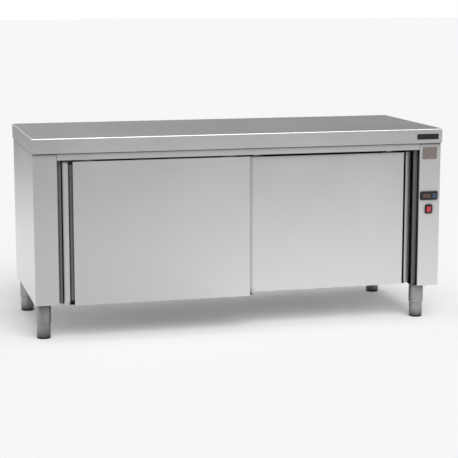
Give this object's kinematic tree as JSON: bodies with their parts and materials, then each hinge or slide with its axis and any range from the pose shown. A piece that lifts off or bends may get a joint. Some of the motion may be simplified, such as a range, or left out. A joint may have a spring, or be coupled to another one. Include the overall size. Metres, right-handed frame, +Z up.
{
  "type": "plate warmer cabinet",
  "caption": "Free-standing stainless steel hot cupboard with a worktop, sliding doors with recessed pulls, a fan heater, a control panel at the right and adjustable legs.",
  "frame": {"origin": "on the floor, under the middle of the worktop", "axes": "+X to the right along the front, +Y from the front to the back, +Z up"},
  "size_m": [1.8, 0.7, 0.85],
  "materials": {
    "brushed_steel": "fine brushed stainless steel",
    "inner_steel": "satin stainless steel",
    "galvanised": "galvanised sheet",
    "mineral_wool": "mineral wool slab",
    "seal_rubber": "matte grey strip",
    "black_rubber": "matte black",
    "element_sheath": "heat-tinted sheath",
    "black_plastic": "moulded black",
    "display": "dark red window",
    "key_plastic": "blue keys",
    "red_plastic": "translucent red",
    "nylon": "natural nylon",
    "plate_metal": "printed plate, blank"
  },
  "bodies": {
    "cabinet": {"worktop": "brushed_steel", "side_panel_left": "brushed_steel", "side_panel_right": "brushed_steel", "back_panel": "brushed_steel", "front_stile": "brushed_steel", "control_fascia": "brushed_steel", "head_rail": "brushed_steel", "base_tray": "brushed_steel", "legs": "brushed_steel", "control_partition": "inner_steel", "liner_wrap": "inner_steel", "liner_left": "inner_steel", "liner_right": "inner_steel", "shelf_rack": "inner_steel", "temperature_probe": "inner_steel", "worktop_channels": "galvanised", "door_track": "galvanised", "door_guide": "galvanised", "heater_box": "galvanised", "fan_motor": "galvanised", "screws": "galvanised", "insulation": "mineral_wool", "jamb_seals": "seal_rubber", "heating_element": "element_sheath", "thermostat": "black_plastic", "switch_housing": "black_plastic", "cable_gland": "black_plastic", "wiring": "black_plastic", "name_strip": "black_plastic", "thermostat_window": "display", "electrical_block": "nylon", "rating_plate": "plate_metal"},
    "fan": {"fan_impeller": "inner_steel"},
    "key_up": {"key_up": "key_plastic"},
    "key_down": {"key_down": "key_plastic"},
    "rocker": {"switch_rocker": "red_plastic"},
    "shelf_left": {"shelf_left": "inner_steel"},
    "shelf_right": {"shelf_right": "inner_steel"},
    "foot_front_left": {"foot_front_left": "brushed_steel", "pad_front_left": "black_rubber"},
    "foot_front_right": {"foot_front_right": "brushed_steel", "pad_front_right": "black_rubber"},
    "foot_rear_left": {"foot_rear_left": "brushed_steel", "pad_rear_left": "black_rubber"},
    "foot_rear_right": {"foot_rear_right": "brushed_steel", "pad_rear_right": "black_rubber"},
    "left_door": {"left_door_skin": "brushed_steel", "left_door_pull": "brushed_steel", "left_door_inner": "inner_steel", "left_door_insulation": "mineral_wool", "left_door_hangers": "galvanised"},
    "left_roller_outer": {"left_roller_outer": "nylon"},
    "left_roller_inner": {"left_roller_inner": "nylon"},
    "right_door": {"right_door_skin": "brushed_steel", "right_door_pull": "brushed_steel", "right_door_inner": "inner_steel", "right_door_insulation": "mineral_wool", "right_door_hangers": "galvanised"},
    "right_roller_outer": {"right_roller_outer": "nylon"},
    "right_roller_inner": {"right_roller_inner": "nylon"}
  },
  "joints": [
    {"name": "left_door_slide", "type": "slide", "parent": "cabinet", "child": "left_door", "axis": [1, 0, 0], "range_m": [0, 0.7]},
    {"name": "right_door_slide", "type": "slide", "parent": "cabinet", "child": "right_door", "axis": [1, 0, 0], "range_m": [-0.7, 0]},
    {"name": "fan_spin", "type": "hinge", "parent": "cabinet", "child": "fan", "pos_m": [0.8, 0.12, 0.352], "axis": [1, 0, 0], "continuous": true},
    {"name": "rocker_swing", "type": "hinge", "parent": "cabinet", "child": "rocker", "pos_m": [0.84545, -0.338, 0.494], "axis": [-1, 0, 0], "range_deg": [0, 14]},
    {"name": "shelf_left_lift", "type": "slide", "parent": "cabinet", "child": "shelf_left", "axis": [0, 0, 1], "range_m": [0, 0.08]},
    {"name": "shelf_right_lift", "type": "slide", "parent": "cabinet", "child": "shelf_right", "axis": [0, 0, 1], "range_m": [0, 0.08]},
    {"name": "key_up_press", "type": "slide", "parent": "cabinet", "child": "key_up", "axis": [0, 1, 0], "range_m": [0, 0.0008], "stiffness_N_per_m": 500},
    {"name": "key_down_press", "type": "slide", "parent": "cabinet", "child": "key_down", "axis": [0, 1, 0], "range_m": [0, 0.0008], "stiffness_N_per_m": 500},
    {"name": "foot_front_left_screw", "type": "slide", "parent": "cabinet", "child": "foot_front_left", "axis": [0, 0, -1], "range_m": [0, 0.03]},
    {"name": "foot_front_right_screw", "type": "slide", "parent": "cabinet", "child": "foot_front_right", "axis": [0, 0, -1], "range_m": [0, 0.03]},
    {"name": "foot_rear_left_screw", "type": "slide", "parent": "cabinet", "child": "foot_rear_left", "axis": [0, 0, -1], "range_m": [0, 0.03]},
    {"name": "foot_rear_right_screw", "type": "slide", "parent": "cabinet", "child": "foot_rear_right", "axis": [0, 0, -1], "range_m": [0, 0.03]},
    {"name": "left_roller_outer_turn", "type": "hinge", "parent": "left_door", "child": "left_roller_outer", "pos_m": [-0.668, -0.326, 0.7723], "axis": [0, 1, 0], "continuous": true},
    {"name": "left_roller_inner_turn", "type": "hinge", "parent": "left_door", "child": "left_roller_inner", "pos_m": [-0.062, -0.326, 0.7723], "axis": [0, 1, 0], "continuous": true},
    {"name": "right_roller_outer_turn", "type": "hinge", "parent": "right_door", "child": "right_roller_outer", "pos_m": [0.677, -0.284, 0.7723], "axis": [0, 1, 0], "continuous": true},
    {"name": "right_roller_inner_turn", "type": "hinge", "parent": "right_door", "child": "right_roller_inner", "pos_m": [0.071, -0.284, 0.7723], "axis": [0, 1, 0], "continuous": true}
  ],
  "couplings": [
    {"joint": "left_roller_outer_turn", "follows": "left_door_slide", "rad_per_m": 76.923},
    {"joint": "left_roller_inner_turn", "follows": "left_door_slide", "rad_per_m": 76.923},
    {"joint": "right_roller_outer_turn", "follows": "right_door_slide", "rad_per_m": 76.923},
    {"joint": "right_roller_inner_turn", "follows": "right_door_slide", "rad_per_m": 76.923}
  ]
}
